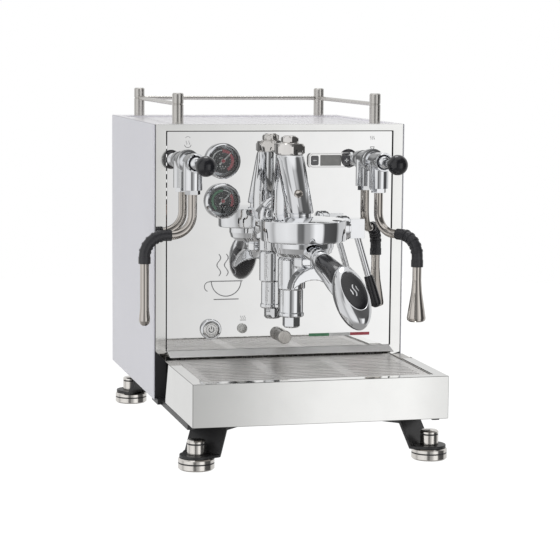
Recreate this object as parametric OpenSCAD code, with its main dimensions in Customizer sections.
// Prosumer espresso machine with a ring-type brew group, two joystick valves
// and a sliding drip tray.  Millimetres, +Z up, front facing -Y.
// Origin: on the counter, on the centre plane, below the face of the front panel.

/* [Body] */
// Width between the inner faces of the two side panels
body_w = 299; // [260:1:340]
// Depth from the front panel to the rear panel
body_d = 296; // [260:1:340]
// Height of the cup shelf above the counter
body_top = 369.5; // [330:0.5:400]
// Height of the lower edge of the side panels above the counter
body_low = 48; // [44:1:56]
// Thickness of the sheet-metal panels
sheet = 1.5; // [1:0.1:2]
// How far the creased middle of a side panel stands out
side_bulge = 3.5; // [1:0.5:8]

/* [Front] */
// Width of each upright strip beside the front panel
strip_w = 12; // [8:1:16]
// Height of the front panel's lower edge
panel_low = 105.4; // [100:0.2:112]
// Height of the gauge, display and joystick row
row_z = 327; // [310:1:335]
// Height of the second pressure gauge
gauge2_z = 280.4; // [275:0.2:284]
// Sideways place of both gauges
gauge_x = -70.6; // [-76:0.2:-66]
// Outer radius of a gauge bezel
gauge_r = 20.8; // [18:0.1:22]
// Sideways place of the temperature display
display_x = 59.3; // [55:0.1:64]

/* [Brew group] */
// Sideways place of the brew group's axis
group_x = -1.5; // [-4:0.5:4]
// Distance from the front panel to the upright valve column
column_y = -45; // [-52:1:-42]
// Distance from the front panel to the bell's axis
bell_y = -110; // [-116:1:-104]
// Outer radius of the bell
bell_r = 48; // [46:0.5:52]
// Height of the bell's lower face
bell_low = 243.5; // [240:0.5:246]
// Height of the bell
bell_h = 24.5; // [22:0.5:28]
// Outer radius of the portafilter bowl
bowl_r = 34.5; // [33:0.5:35]
// Angle by which the portafilter handle points to the right
handle_turn = 6.2; // [-10:0.2:15]

/* [Joystick valves and wands] */
// Sideways distance of each valve from the centre plane
valve_x = 111.4; // [106:0.2:116]
// Distance from the front panel to the wand's swivel axis
valve_y = -28; // [-34:1:-24]
// Radius of a joystick ball
ball_r = 11.7; // [9:0.1:13]
// Radius of a wand tube
wand_r = 5.2; // [4:0.1:6]
// Bend radius of a wand tube's centre line
bend_r = 24; // [18:1:26]

/* [Drip tray] */
// Width of the tray's polished cover
tray_w = 290; // [260:1:294]
// How far the tray stands out in front of the panel
tray_out = 194; // [170:1:210]
// Height of the tray's upper edge
tray_top = 99; // [92:0.5:100]
// Height of the tray's lower edge
tray_low = 51; // [49:0.5:56]
// Width of the flat rim along the tray's edges
tray_rim = 14; // [8:1:18]

/* [Feet] */
// Sideways distance of a foot from the centre plane
foot_x = 134; // [120:1:140]
// Distance from the front panel forward to the front feet
foot_front = 162; // [150:1:175]
// Distance from the front panel back to the rear feet
foot_rear = 251; // [230:1:265]
// Radius of a foot disc
foot_r = 20; // [16:0.5:22]

/* [Hidden] */
$fn = 48;
half_w = body_w / 2;
strip_x = half_w - 0.6 - strip_w;
strip_low = 92.6;
lip_y = -20;
rim_rear = -67;
panel_half = strip_x - 1.3;
panel_top = body_top - 8.6;
bell_top = bell_low + bell_h;
column_low = 218;
exhaust_x = 2.4;
chamber_r = 16.3;
lever_z = 251;
lever_x = 77.7;
lever_splay = 17;
tray_half = tray_w / 2;
valve_low = 289.8;
arm_z = 243.7;
left_run = 55.8;
right_run = 62.3;
right_dir = -60;
power_x = -83.6;
power_z = 129.7;
lamp_x = -45.5;
button_places = [-19.4, 19.4];
knob_x = 1.3;
knob_z = 120.6;
rail_x = 119.6;
rail_front_y = 18.5;
rail_rear_y = 271.5;
rail_z = body_top + 22.7;
post_top = body_top + 35.5;
grip_start = [0, -49, 230];
egg_at = [0, -143, 197];
egg_slope = 42;
egg_size = [18, 41.5, 22];
egg_flat = 11;
feet = [[-foot_x, -foot_front], [foot_x, -foot_front], [-foot_x, foot_rear], [foot_x, foot_rear]];
foot_turn = [45, 135, -45, -135];

// ---------- shared shapes ----------

// Round bar along X, Y or Z between two coordinates
module bar_x(r, x0, x1, y, z) {
    translate([x0, y, z]) rotate([0, 90, 0]) cylinder(r = r, h = x1 - x0);
}
module bar_y(r, y0, y1, x, z) {
    translate([x, y1, z]) rotate([90, 0, 0]) cylinder(r = r, h = y1 - y0);
}
module bar_z(r, z0, z1, x, y) {
    translate([x, y, z0]) cylinder(r = r, h = z1 - z0);
}

// Cone along Y: radius ra at y0, rb at y1
module cone_y(ra, rb, y0, y1, x, z) {
    translate([x, y1, z]) rotate([90, 0, 0]) cylinder(r1 = rb, r2 = ra, h = y1 - y0);
}

// Block between two opposite corners
module block(lo, hi) {
    translate(lo) cube(hi - lo);
}

// Flat plate outline with round corners
module round_rect(w, h, r) {
    square([w - 2 * r, h], center = true);
    square([w, h - 2 * r], center = true);
    for (sx = [-1, 1], sz = [-1, 1])
        translate([sx * (w / 2 - r), sz * (h / 2 - r)]) circle(r);
}

// Rounded plate standing in the XZ plane between y0 and y1
module plate_y(w, h, r, y0, y1, x, z) {
    translate([x, y1, z]) rotate([90, 0, 0]) linear_extrude(y1 - y0) round_rect(w, h, r);
}

// Quarter of a bent round bar: centre line from +X side to +Z side
module quarter_bend(r) {
    rotate([90, 0, 0]) intersection() {
        rotate_extrude() translate([bend_r, 0]) circle(r);
        translate([0, 0, -r - 1]) cube([bend_r + r + 1, bend_r + r + 1, 2 * r + 2]);
    }
}

// Upright hexagonal nut
module hex_z(r, z0, z1, x, y) {
    translate([x, y, z0]) cylinder(r = r, h = z1 - z0, $fn = 6);
}

// ---------- body ----------

module chassis() {
    color("#1d1d1f") {
        block([-half_w + 3, 2, body_low], [half_w - 3, body_d - 4, body_low + 2.5]);
        block([-panel_half, 5, body_low], [panel_half, 6.5, panel_low - 8]);
        block([-half_w + 13, -150, 44], [half_w - 13, 5, 46.5]);
        block([-half_w + 13, 190, 44], [half_w - 13, 240, body_low]);
        for (s = [-1, 1]) {
            mirror([s < 0 ? 1 : 0, 0, 0]) {
                block([half_w - 13, -165, 44], [half_w - 5, 20, body_low + 2.5]);
                block([half_w - 5, -16, body_low - 3], [half_w, 20, body_low + 2.5]);
                translate([0, 1.4, 0]) rotate([90, 0, 0]) linear_extrude(2.1)
                    polygon([[strip_x, 45], [half_w, 45], [half_w, strip_low + 12.2],
                        [strip_x, strip_low - 0.4]]);
                for (y = [13, body_d - 22])
                    block([half_w - 14, y, body_low + 2], [half_w - 2, y + 12, body_top - 4]);
            }
        }
        difference() {
            block([-half_w + 2, 13, body_top - 12], [half_w - 2, body_d - 10, body_top - 4]);
            block([-half_w + 14, 25, body_top - 13], [half_w - 14, body_d - 22, body_top - 3]);
        }
    }
}

module side_panel() {
    hull() {
        block([half_w, 0, body_top - 1], [half_w + sheet, body_d, body_top]);
        block([half_w, 0, body_low], [half_w + sheet, body_d, body_low + 1]);
        block([half_w, 70, 164], [half_w + sheet + side_bulge, 207, 166]);
    }
}
module side_panel_right() { color("#d3d3dc") side_panel(); }
module side_panel_left() { color("#d3d3dc") mirror([1, 0, 0]) side_panel(); }

module rear_panel() {
    color("#cfcfd6") difference() {
        block([-half_w + 0.2, body_d - sheet, body_low + 3], [half_w - 0.2, body_d, body_top - 4]);
        plate_y(48, 28, 2, body_d - 5, body_d + 5, -92, 92);
        for (x = [-70, 70], i = [0:7])
            plate_y(90, 4, 1.9, body_d - 5, body_d + 5, x, 250 + i * 11);
    }
}

module front_panel() {
    mid_z = (panel_top + panel_low) / 2;
    color("#eef0ee") difference() {
        plate_y(2 * panel_half, panel_top - panel_low, 1, 0, sheet, 0, mid_z);
        for (z = [row_z, gauge2_z]) bar_y(18.4, -2, 4, gauge_x, z);
        plate_y(48, 13, 1, -2, 4, display_x, row_z);
        bar_y(10.9, -2, 4, power_x, power_z);
        bar_y(4.2, -2, 4, lamp_x, power_z);
        bar_y(4.3, -2, 4, knob_x, knob_z);
        bar_y(17, -2, 4, group_x, 262);
        for (s = [-1, 1]) bar_y(8.2, -2, 4, s * valve_x, row_z);
    }
}

// Upright strips with mitred feet, the top rail, and the lip that drains onto the tray
module front_frame() {
    edge_w = strip_w + 0.4;
    color("#d8dad6") {
        for (s = [-1, 1]) mirror([s < 0 ? 1 : 0, 0, 0])
            translate([0, 9, 0]) rotate([90, 0, 0]) linear_extrude(9.8)
                polygon([[strip_x, strip_low], [strip_x + edge_w, strip_low + edge_w],
                    [strip_x + edge_w, body_top], [strip_x, body_top]]);
        block([-strip_x - 0.1, -0.8, panel_top + 0.8], [strip_x + 0.1, 9, body_top]);
        block([-strip_x - 0.1, -0.8, panel_low - 7.2], [strip_x + 0.1, 4.4, panel_low - 0.4]);
        translate([-panel_half, 0, 0]) rotate([90, 0, 90]) linear_extrude(2 * panel_half)
            polygon([[-0.5, panel_low - 1.6], [-0.5, panel_low - 0.4], [lip_y, tray_top + 1.2],
                [lip_y, tray_top + 0.4]]);
    }
}

module cup_shelf() {
    color("#e4e4ec") difference() {
        block([-half_w + 0.3, 9.8, body_top - 3.4], [half_w - 0.3, body_d - 0.6, body_top]);
        block([-half_w + 8, 27, body_top - 1.4], [half_w - 8, body_d - 32, body_top + 1]);
        for (ix = [-6:6], iy = [0:10])
            bar_z(2, body_top - 6, body_top + 1, ix * 20, 40 + iy * 21);
        for (s = [-1, 1], y = [rail_front_y, rail_rear_y])
            bar_z(2.6, body_top - 6, body_top + 1, s * rail_x, y);
    }
}

module cup_rail() {
    post_r = 6.6;
    wire_r = 2.5;
    color("#c9c9cc") {
        for (s = [-1, 1], y = [rail_front_y, rail_rear_y]) {
            translate([s * rail_x, y, body_top]) rotate_extrude() polygon([[0, -3.6], [2.5, -3.6], [2.5, 0],
                [post_r, 0], [post_r, 21.8], [post_r - 0.6, 22.2], [post_r - 0.6, 23.2], [post_r, 23.6],
                [post_r, 34.3], [post_r - 1.2, 35.5], [0, 35.5]]);
        }
        bar_x(wire_r, -rail_x + post_r, rail_x - post_r, rail_rear_y, rail_z);
        for (s = [-1, 1]) bar_y(wire_r, rail_front_y + post_r, rail_rear_y - post_r, s * rail_x, rail_z);
    }
}

// ---------- legs and feet ----------

// Side outline of a bent leg strap: flat tab, slope, flat top flange
function strap_line() = [[-20, 13.2], [13.6, 13.2], [27, 40.8], [74, 40.8], [74, 44], [25, 44],
    [11.6, 16.4], [-20, 16.4]];

module leg_brackets() {
    color("#19191b") for (i = [0:3]) translate([feet[i][0], feet[i][1], 0]) rotate([0, 0, foot_turn[i]])
        difference() {
            intersection() {
                translate([0, 24, 0]) rotate([90, 0, 0]) linear_extrude(48) polygon(strap_line());
                linear_extrude(60) union() {
                    circle(18.6);
                    polygon([[0, -18.6], [10, -23], [58, -23], [74, -9], [74, 9], [58, 23], [10, 23],
                        [0, 18.6]]);
                }
            }
            bar_z(4.06, 0, 30, 0, 0);
        }
}

module foot(p) {
    color("#b9b4ae") translate([p[0], p[1], 0]) rotate_extrude() polygon([[0, 0], [foot_r - 1.5, 0],
        [foot_r, 1.5], [foot_r, 6.8], [foot_r - 0.9, 7.1], [foot_r - 0.9, 8.1], [foot_r, 8.4],
        [foot_r, 11.6], [foot_r - 1.2, 12.8], [4, 12.8], [4, 16.8], [10.2, 16.8], [10.2, 27.4],
        [9.4, 27.8], [9.4, 28.8], [10.2, 29.2], [10.2, 31.2], [8.6, 32.6], [0, 33.2]]);
}
module foot_front_left() { foot(feet[0]); }
module foot_front_right() { foot(feet[1]); }
module foot_rear_left() { foot(feet[2]); }
module foot_rear_right() { foot(feet[3]); }

// ---------- drip tray ----------

module tray_cover() {
    skin = 1.4;
    color("#e2e2e0") {
        difference() {
            block([-tray_half, -tray_out, tray_low], [tray_half, rim_rear, tray_top]);
            block([-tray_half + skin, -tray_out + skin, tray_low - 1], [tray_half - skin, rim_rear + 1,
                tray_top - skin]);
            block([-tray_half + tray_rim, -tray_out + tray_rim, tray_low], [tray_half - tray_rim,
                rim_rear + 1, tray_top + 1]);
        }
        for (s = [-1, 1]) mirror([s < 0 ? 1 : 0, 0, 0])
            translate([tray_half - skin, 0, 0]) rotate([90, 0, 90]) linear_extrude(skin)
                polygon([[rim_rear - 1, tray_low], [-38, tray_low], [-57, tray_top],
                    [rim_rear - 1, tray_top]]);
    }
}

// Blocks in the pan's corners that carry the grate
module pan_corner_blocks(x1, y0) {
    for (s = [-1, 1], y = [y0, lip_y - 15])
        mirror([s < 0 ? 1 : 0, 0, 0]) block([x1 - 12, y, tray_low + 2], [x1, y + 12, tray_top - 4.1]);
}

module drip_pan() {
    x1 = tray_half - tray_rim - 0.3;
    y0 = -tray_out + tray_rim + 0.3;
    wall = 1.2;
    color("#b5b2ae") {
        difference() {
            union() {
                block([-x1, y0, tray_low + 1], [x1, -1.6, tray_top - 0.6]);
                block([-tray_half + 1.5, -tray_out + 1.5, tray_low + 1], [tray_half - 1.5, -60,
                    tray_low + 2.4]);
                for (s = [-1, 1]) mirror([s < 0 ? 1 : 0, 0, 0])
                    block([x1 - wall, rim_rear + 0.4, tray_top - 1.6], [tray_half - 2, -31, tray_top - 0.2]);
            }
            block([-x1 + wall, y0 + wall, tray_low + 2.4], [x1 - wall, -1.6 - wall, tray_top + 1]);
        }
        pan_corner_blocks(x1 - wall, y0 + wall);
    }
}

module drip_grate() {
    x1 = tray_half - tray_rim - 2;
    y0 = -tray_out + tray_rim + 2.4;
    color("#b9b4ae") difference() {
        block([-x1, y0, tray_top - 4], [x1, lip_y - 2.4, tray_top - 1.2]);
        for (iy = [0:14], ix = [-1, 0, 1])
            translate([ix * 84, y0 + 12 + iy * 10, tray_top - 6]) linear_extrude(8) round_rect(72, 2.4, 1.15);
    }
}

// ---------- gauges ----------

module gauge_housings() {
    color("#c8c8cc") for (z = [row_z, gauge2_z]) translate([gauge_x, 0, z]) rotate([-90, 0, 0])
        rotate_extrude() polygon([[0, 27], [18.2, 27], [18.2, 0], [gauge_r, 0], [gauge_r, -5.5],
            [gauge_r - 0.6, -7.6], [gauge_r - 2, -8.8], [gauge_r - 3.2, -8.4], [gauge_r - 3.2, -2],
            [1.05, -2], [1.05, 20], [0, 20]]);
}

module gauge_dials() {
    color("#26292b") for (z = [row_z, gauge2_z]) difference() {
        bar_y(gauge_r - 3.25, -3.2, -2, gauge_x, z);
        bar_y(1.2, -5, 0, gauge_x, z);
    }
}

module gauge_glasses() {
    color("#f4f8fa") for (z = [row_z, gauge2_z])
        bar_y(gauge_r - 3.25, -7.8, -6.8, gauge_x, z);
}

// Needle pointing to the upper right, on a spindle through the dial
module needle(z) {
    color("#f2f2f2") translate([gauge_x, 0, z]) {
        bar_y(1, -5.6, 18, 0, 0);
        bar_y(2.6, -5.6, -4.4, 0, 0);
        rotate([0, 45, 0]) translate([0, -4.4, 0]) rotate([90, 0, 0])
            linear_extrude(0.8) polygon([[-1.1, -6], [1.1, -6], [0.45, 13.6], [-0.45, 13.6]]);
    }
}
module needle_upper() { needle(row_z); }
module needle_lower() { needle(gauge2_z); }

// ---------- display and lower controls ----------

module display_housing() {
    color("#c4c4c6") difference() {
        union() {
            plate_y(54, 17.8, 5, -4, 0, display_x, row_z);
            plate_y(47.4, 12.4, 1, 0, 22, display_x, row_z);
        }
        plate_y(25.4, 12.6, 0.8, -5, -1.4, display_x, row_z);
        for (dx = button_places) plate_y(9.4, 11.4, 2, -5, 2, display_x + dx, row_z);
    }
}
module display_screen() { color("#3a3c40") plate_y(25.2, 12.4, 0.7, -3, -1.4, display_x, row_z); }
module display_button(dx) { color("#8e9094") plate_y(8.8, 10.8, 1.8, -4.6, -0.4, display_x + dx, row_z); }
module button_minus() { display_button(button_places[0]); }
module button_plus() { display_button(button_places[1]); }

module power_ring() {
    color("#c8c8cc") translate([power_x, 0, power_z]) rotate([-90, 0, 0]) rotate_extrude()
        polygon([[9.9, -4.6], [11.4, -4.6], [12.2, -3.6], [12.2, 0], [10.7, 0], [10.7, 24], [0, 24],
            [0, 21], [9.9, 21]]);
}
module power_button() {
    color("#b9b9bd") translate([power_x, 0, power_z]) rotate([-90, 0, 0]) rotate_extrude()
        polygon([[0, -5.4], [7.6, -5.4], [9.4, -4.6], [9.4, 8], [0, 8]]);
}
module pilot_lamp() {
    color("#d8d8d8") {
        translate([lamp_x, -3.4, power_z]) intersection() {
            sphere(r = 3.9);
            block([-5, -5, -5], [5, 0, 5]);
        }
        translate([lamp_x, 0, power_z]) rotate([-90, 0, 0]) rotate_extrude()
            polygon([[0, -3.4], [5.2, -3.4], [5.7, -2.6], [5.7, 0], [4.1, 0], [4.1, 18], [0, 18]]);
    }
}
module selector_knob() {
    color("#c6c6ca") translate([knob_x, 0, knob_z]) rotate([-90, 0, 0]) rotate_extrude()
        polygon([[0, -21.5], [7, -21.5], [7.9, -20.6], [7.9, -0.6], [4, -0.6], [4, 16], [0, 16]]);
}

// ---------- brew group ----------

module group_flange() {
    color("#c9cacd") difference() {
        union() {
            plate_y(50, 78, 12, -7, 0, group_x, 262);
            bar_y(22, -23.6, -6, group_x, 262);
            bar_y(16.6, -1, 14, group_x, 262);
        }
        bar_y(6, -27, 15, group_x, 262);
    }
}

module group_body() {
    spindle_r = 7;
    color("#d4d6da") difference() {
        union() {
            translate([group_x, column_y, 0]) {
                hull() {
                    translate([0, 0, 324]) cylinder(r = 16, h = 13, $fn = 40);
                    translate([0, -40, 286]) cylinder(r = 15.6, h = 3, $fn = 40);
                }
                hull() {
                    translate([0, -39, 287]) cylinder(r = 15.2, h = 3, $fn = 40);
                    translate([0, -49, bell_top - 2]) cylinder(r = 15.8, h = 8, $fn = 40);
                    translate([0, 0, bell_top - 2]) cylinder(r = 18.4, h = 5, $fn = 40);
                }
                hull() {
                    translate([0, -7, 333]) cylinder(r = 13.7, h = 3, $fn = 40);
                    translate([0, -55, bell_top + 6.4]) cylinder(r = 10.4, h = 2, $fn = 40);
                }
            }
            bar_z(17, column_low, bell_top + 1, group_x, column_y);
            bar_y(20, column_y, -23.6, group_x, 262);
            bar_x(chamber_r, -21, lever_x - 16, column_y, lever_z);
            translate([lever_x - 16, column_y, lever_z]) rotate([0, 90, 0])
                cylinder(r1 = chamber_r, r2 = 14.2, h = 5.4);
            translate([group_x, bell_y, bell_low]) rotate_extrude() polygon([[0, 0], [bell_r - 1.5, 0],
                [bell_r, 1.5], [bell_r, bell_h - 3], [bell_r - 1.4, bell_h], [0, bell_h]]);
        }
        bar_z(37, bell_low - 1, bell_low + 4, group_x, bell_y);
        bar_z(42, bell_low + 4, bell_low + 12, group_x, bell_y);
        bar_z(36.4, bell_low + 11.9, bell_low + 20, group_x, bell_y);
        for (a = [0, 180]) translate([group_x, bell_y, bell_low - 1]) rotate([0, 0, a + handle_turn - 50])
            intersection() {
                cylinder(r = 41.7, h = 6);
                linear_extrude(6) polygon([[0, 0], [60, -32], [60, 32]]);
            }
        bar_x(spindle_r + 0.06, lever_x - 50, lever_x, column_y, lever_z);
        bar_z(6, bell_low + 15, bell_top - 1, group_x, bell_y);
        bar_z(10, column_low - 1, column_low + 12, exhaust_x, column_y);
    }
}

module group_caps() {
    color("#cfd0d4") {
        difference() {
            hex_z(18.2, 337, 349.6, group_x, column_y);
            bar_z(6, 336, 344, group_x, column_y);
        }
        bar_z(9, 349.5, 351, group_x, column_y);
        hex_z(10.6, 350.8, 357, group_x, column_y);
        bar_z(7, 356.8, 358.4, group_x, column_y);
    }
}

// Plain round medallion on the front of the tower
module group_badge() {
    color("#bfc0c4") translate([group_x - 2, -93.4, 294]) rotate([54, 0, 0]) cylinder(r = 5, h = 3.4);
}

module exhaust_chamber() {
    color("#d0d1d6") {
        translate([exhaust_x, column_y, 0]) rotate_extrude() polygon([[0, 148.5], [12.6, 148.5],
            [14.8, 150.4], [14.8, 153.4], [13.8, 154.2], [13.8, 181], [16.2, 182.5], [16.2, 216],
            [14.4, column_low], [9.9, column_low], [9.9, column_low + 10], [0, column_low + 10]]);
        hex_z(10.4, 137.4, 148.6, exhaust_x, column_y);
        bar_z(8, 136, 137.5, exhaust_x, column_y);
    }
}

module brew_lever() {
    color("#c9cacd") {
        bar_x(7, lever_x - 48, lever_x - 8, column_y, lever_z);
        bar_x(13.4, lever_x - 10.3, lever_x - 8, column_y, lever_z);
        difference() {
            block([lever_x - 8.4, column_y - 12, lever_z - 11.3], [lever_x + 8.6, column_y + 12,
                lever_z + 11.3]);
            bar_x(4, lever_x + 5.6, lever_x + 10, column_y, lever_z);
        }
        translate([lever_x, column_y, lever_z]) rotate([0, -lever_splay, 0]) bar_z(3.8, -64, -6, 0, 0);
    }
}

module lever_grip() {
    color("#18181a") translate([lever_x, column_y, lever_z]) rotate([0, -lever_splay, 0])
        translate([0, 0, -98]) rotate_extrude() polygon([[0, 0], [3.4, 0.5], [5.8, 2.6], [6.5, 6],
            [6.1, 24], [5.2, 38], [4.4, 39], [3.85, 39], [3.85, 33], [0, 33]]);
}

module group_gasket() {
    color("#2a2a2c") difference() {
        bar_z(36, bell_low + 12.7, bell_low + 19.8, group_x, bell_y);
        bar_z(29.4, bell_low + 12, bell_low + 20, group_x, bell_y);
    }
}

module shower_screen() {
    color("#a8a8aa") {
        difference() {
            bar_z(29, bell_low + 13, bell_low + 15.6, group_x, bell_y);
            for (ring = [1:3], i = [0:ring * 6 - 1]) translate([group_x, bell_y, bell_low + 12])
                rotate([0, 0, i * 60 / ring]) bar_z(0.9, 0, 2.4, ring * 8, 0, $fn = 16);
        }
        difference() {
            bar_z(29, bell_low + 15.5, bell_low + 19.9, group_x, bell_y);
            bar_z(26, bell_low + 15, bell_low + 19, group_x, bell_y);
        }
    }
}

// ---------- portafilter ----------

// Places its children in the handle's own frame: origin on the bell's axis, handle along -Y
module handle_frame() {
    translate([group_x, bell_y, 0]) rotate([0, 0, handle_turn]) children();
}

module portafilter() {
    rim = bell_low + 12;
    color("#cfd0d4") handle_frame() difference() {
        union() {
            rotate_extrude() polygon([[0, 224], [16, 224], [26, 226.5], [32.4, 231], [bowl_r, 237],
                [bowl_r, rim], [31.6, rim], [0, rim]]);
            for (a = [0, 180]) rotate([0, 0, a]) intersection() {
                translate([0, 0, bell_low + 4.6]) cylinder(r = 41, h = 5.6);
                translate([0, 0, bell_low + 4]) linear_extrude(8) polygon([[0, 0], [60, -20], [60, 20]]);
            }
            hull() {
                translate([0, -30, 234.5]) rotate([90, 0, 0]) cylinder(r = 7, h = 2, $fn = 32);
                translate(grip_start) rotate([108, 0, 0]) translate([0, 0, -2])
                    cylinder(r = 9.4, h = 2, $fn = 32);
            }
            handle_spine(0);
        }
        rotate_extrude() polygon([[0, 227], [16, 227], [24.5, 229.5], [29.2, 234], [30, 238],
            [30, rim + 1], [0, rim + 1]]);
        translate([0, 0, 220]) cylinder(r = 4, h = 12);
    }
}

module filter_basket() {
    rim = bell_low + 12;
    color("#b9babd") handle_frame() difference() {
        rotate_extrude() polygon([[0, 232.5], [22, 232.5], [27, 236], [29.3, 240], [29.3, rim],
            [34, rim], [34, rim + 0.4], [28.6, rim + 0.4], [28.6, 240.3], [26.5, 236.6], [21.8, 233.3],
            [0, 233.3]]);
        for (ring = [1:2], i = [0:ring * 6 - 1]) rotate([0, 0, i * 60 / ring])
            translate([ring * 9, 0, 232]) cylinder(r = 0.8, h = 3, $fn = 16);
    }
}

module portafilter_spout() {
    outer = 26;
    inner = 33;
    color("#c6c7cb") handle_frame() {
        hex_z(11.2, 214.6, 223.9, 0, 0);
        bar_z(3.9, 223.5, 228.4, 0, 0);
        hull() {
            translate([0, 0, 213]) cylinder(r = 8.5, h = 2, $fn = 32);
            translate([0, -14.2, 210]) sphere(r = 6, $fn = 32);
        }
        translate([0, -26, 217]) difference() {
            rotate([90, 0, 0]) translate([0, 0, -8]) linear_extrude(16) difference() {
                translate([0, -outer]) circle(outer, $fn = 64);
                translate([0, -inner - 14.5]) circle(inner, $fn = 64);
                translate([-40, -90]) square([80, 90 - 25]);
            }
            rotate([90, 0, 0]) translate([0, 0, -5.6]) linear_extrude(11.2) difference() {
                translate([0, -outer - 1.6]) circle(outer - 1.4, $fn = 64);
                translate([-5, -8]) square([10, 8]);
            }
        }
    }
}

// Egg-shaped end of the handle, grown by g
module grip_egg(g) {
    translate(egg_at) rotate([egg_slope, 0, 0]) scale([egg_size[0] + g, egg_size[1] + g, egg_size[2] + g])
        sphere(r = 1, $fn = 44);
}

// Half-space above the egg's middle plane, shifted by d along the plane's normal
module above_egg_plane(d) {
    translate(egg_at) rotate([egg_slope, 0, 0]) translate([-60, -60, d]) cube([120, 120, 80]);
}

// Chrome spine under the handle, grown by g
module handle_spine(g) {
    hull() {
        translate([0, -48, 226.5]) sphere(r = 8.5 + g, $fn = 32);
        translate([0, -100, 207]) sphere(r = 8 + g, $fn = 32);
    }
}

module portafilter_grip() {
    color("#141416") handle_frame() difference() {
        hull() {
            translate(grip_start) rotate([108, 0, 0]) cylinder(r = 10.4, h = 4, $fn = 32);
            translate([0, -112, 214]) sphere(r = 13, $fn = 32);
            grip_egg(-0.4);
        }
        above_egg_plane(-6);
        handle_spine(0.1);
        translate([0, -44, 206]) rotate([108, 0, 0]) translate([-20, 0, 0]) cube([40, 13, 50]);
    }
}

module grip_cap() {
    color("#cccdd1") handle_frame() difference() {
        intersection() {
            grip_egg(0);
            above_egg_plane(-5.95);
        }
        above_egg_plane(egg_flat);
        translate(egg_at) rotate([egg_slope, 0, 0]) translate([0, 0, egg_flat - 1]) scale([13.1, 26, 1])
            cylinder(r = 1, h = 4, $fn = 48);
    }
}

module grip_inlay() {
    color("#1a1a1c") handle_frame() translate(egg_at) rotate([egg_slope, 0, 0])
        translate([0, 0, egg_flat - 1]) scale([13, 25.9, 1]) cylinder(r = 1, h = 1.3, $fn = 48);
}

// ---------- joystick valves ----------

module valve() {
    pivot_y = -46;
    color("#cbccd0") difference() {
        union() {
            translate([0, 0, row_z]) rotate([-90, 0, 0]) rotate_extrude() polygon([[0, -42], [10.2, -42],
                [10.2, -49], [9.2, -50.2], [10.6, -50.2], [11, -49.4], [11, -36], [10.4, -35], [10.4, -8],
                [13, -7], [13.6, -5], [13.6, 0], [8, 0], [8, 20], [0, 20]]);
            bar_z(11.2, valve_low, row_z, 0, valve_y);
            hex_z(9, valve_low - 5, valve_low, 0, valve_y);
        }
        bar_y(9.2, -52, -36, 0, row_z);
        bar_z(wand_r + 0.06, valve_low - 6, valve_low + 6, 0, valve_y);
    }
}
module valve_left() { translate([-valve_x, 0, 0]) valve(); }
module valve_right() { translate([valve_x, 0, 0]) valve(); }

module joystick(x) {
    color("#cbccd0") translate([x, 0, row_z]) rotate([-90, 0, 0]) {
        translate([0, 0, -45.4]) sphere(r = 8.7);
        rotate_extrude() polygon([[0, -88.6], [5.6, -88.6], [8, -86.8], [8, -84], [5, -80], [4.4, -54],
            [4.4, -45], [0, -45]]);
        translate([0, 0, -94]) cylinder(r = 3, h = 6);
    }
}
module joystick_left() { joystick(-valve_x); }
module joystick_right() { joystick(valve_x); }

module joystick_ball(x) {
    color("#17171a") translate([x, -100, row_z]) rotate([-90, 0, 0]) rotate_extrude() difference() {
        circle(r = ball_r, $fn = 72);
        translate([-20, -20]) square([20, 40]);
        translate([0, 6]) square([3, 20]);
        translate([0, ball_r - 0.7]) square([20, 20]);
    }
}
module ball_left() { joystick_ball(-valve_x); }
module ball_right() { joystick_ball(valve_x); }

// ---------- wands ----------

// Bent tube in its own frame: swivel axis at the origin, arm along +X
module wand_path(r, run, top, low) {
    bar_z(r, arm_z + bend_r, top, 0, 0);
    translate([bend_r, 0, arm_z + bend_r]) rotate([0, 180, 0]) quarter_bend(r);
    bar_x(r, bend_r, run - bend_r, 0, arm_z);
    wand_drop(r, run, low);
}
module wand_drop(r, run, low) {
    translate([run - bend_r, 0, arm_z - bend_r]) quarter_bend(r);
    bar_z(r, low, arm_z - bend_r, run, 0);
}

module wand_sleeve(run, low) {
    rib = 0.7;
    outer = wand_r + 1.3;
    color("#2b2b2f") difference() {
        union() {
            bar_x(outer, run - bend_r - 7, run - bend_r, 0, arm_z);
            wand_drop(outer, run, low);
            for (a = [15:15:75]) translate([run - bend_r, 0, arm_z - bend_r]) rotate([0, -a, 0])
                translate([bend_r, 0, -1.2]) cylinder(r = outer + rib, h = 2.4);
            bar_z(outer + 0.5, low, low + 8, run, 0);
        }
        bar_x(wand_r + 0.03, run - bend_r - 8, run - bend_r, 0, arm_z);
        wand_drop(wand_r + 0.03, run, low - 1);
    }
}

module wand_left() {
    color("#bdb8b2") translate([-valve_x, valve_y, 0]) rotate([0, 0, 180]) {
        wand_path(wand_r, left_run, valve_low + 4, 161);
        translate([left_run, 0, 0]) rotate_extrude() polygon([[0, 139.6], [3, 140.2], [5.2, 142.2],
            [6.4, 145.6], [6.4, 149], [5.4, 158], [wand_r, 161], [0, 161]]);
    }
}
module wand_right() {
    color("#bdb8b2") translate([valve_x, valve_y, 0]) rotate([0, 0, right_dir]) {
        wand_path(wand_r, right_run, valve_low + 4, 193);
        translate([right_run, 0, 0]) rotate_extrude() polygon([[0, 145], [8.6, 144.4], [10.6, 146],
            [11, 148.6], [9.6, 158], [6.4, 178], [wand_r, 193], [0, 193]]);
    }
}
module wand_sleeve_left() {
    translate([-valve_x, valve_y, 0]) rotate([0, 0, 180]) wand_sleeve(left_run, 211.6);
}
module wand_sleeve_right() {
    translate([valve_x, valve_y, 0]) rotate([0, 0, right_dir]) wand_sleeve(right_run, 208);
}

// ---------- inside the body ----------

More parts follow.
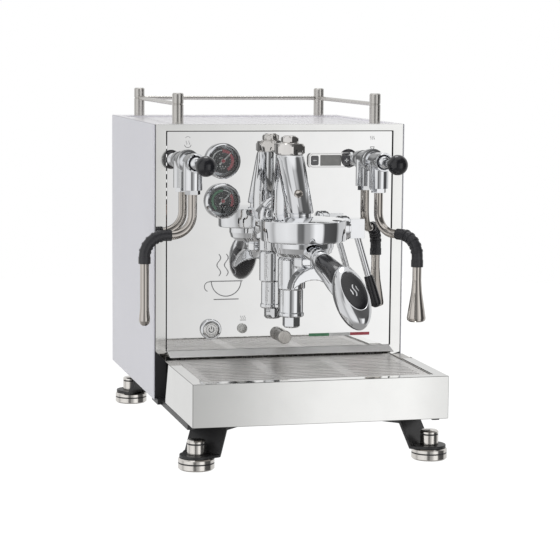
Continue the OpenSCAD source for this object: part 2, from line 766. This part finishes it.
module water_tank() {
    color("#dfe6ea") difference() {
        block([22, 158, body_low + 2.5], [132, 272, body_top - 20]);
        block([24.5, 160.5, body_low + 5], [129.5, 269.5, body_top - 10]);
    }
}

module boiler() {
    color("#b5774a") {
        bar_y(48, 52, 250, -76, 210);
        bar_y(53, 140, 150, -76, 210);
        bar_y(14, 38, 52, -76, 210);
        bar_y(12, 250, 262, -76, 210);
        bar_z(8, 255, 276, -76, 100);
    }
}

module pump() {
    color("#8b8d90") {
        bar_y(24, 90, 190, -76, 100);
        block([-96, 190, 78], [-56, 226, 122]);
        block([-100, 100, body_low + 2.5], [-52, 180, 80]);
    }
}

module control_box() {
    color("#4b4d50") block([30, 60, 240], [126, 150, 330]);
}

module copper_pipes() {
    color("#b87349") {
        bar_y(5.9, -22, 70, group_x, 262);
        bar_x(5.4, -30, group_x, 63, 262);
        for (s = [-1, 1]) bar_y(3, 20, 60, s * valve_x, row_z);
        bar_x(2.6, 1 - valve_x, valve_x - 1, 56, row_z);
    }
}

module inlet_socket() {
    color("#202022") difference() {
        union() {
            plate_y(56, 34, 3, body_d, body_d + 3, -92, 92);
            plate_y(47, 27, 2, body_d - 22, body_d + 1, -92, 92);
        }
        plate_y(25, 17.6, 2, body_d - 14, body_d + 5, -92, 92);
    }
}

chassis();
side_panel_left();
side_panel_right();
rear_panel();
front_panel();
front_frame();
cup_shelf();
cup_rail();
leg_brackets();
foot_front_left();
foot_front_right();
foot_rear_left();
foot_rear_right();
tray_cover();
drip_pan();
drip_grate();
gauge_housings();
gauge_dials();
gauge_glasses();
needle_upper();
needle_lower();
display_housing();
display_screen();
button_minus();
button_plus();
power_ring();
power_button();
pilot_lamp();
selector_knob();
group_flange();
group_body();
group_caps();
group_badge();
exhaust_chamber();
brew_lever();
lever_grip();
group_gasket();
shower_screen();
portafilter();
filter_basket();
portafilter_spout();
portafilter_grip();
grip_cap();
grip_inlay();
valve_left();
valve_right();
joystick_left();
joystick_right();
ball_left();
ball_right();
wand_left();
wand_right();
wand_sleeve_left();
wand_sleeve_right();
water_tank();
boiler();
pump();
control_box();
copper_pipes();
inlet_socket();
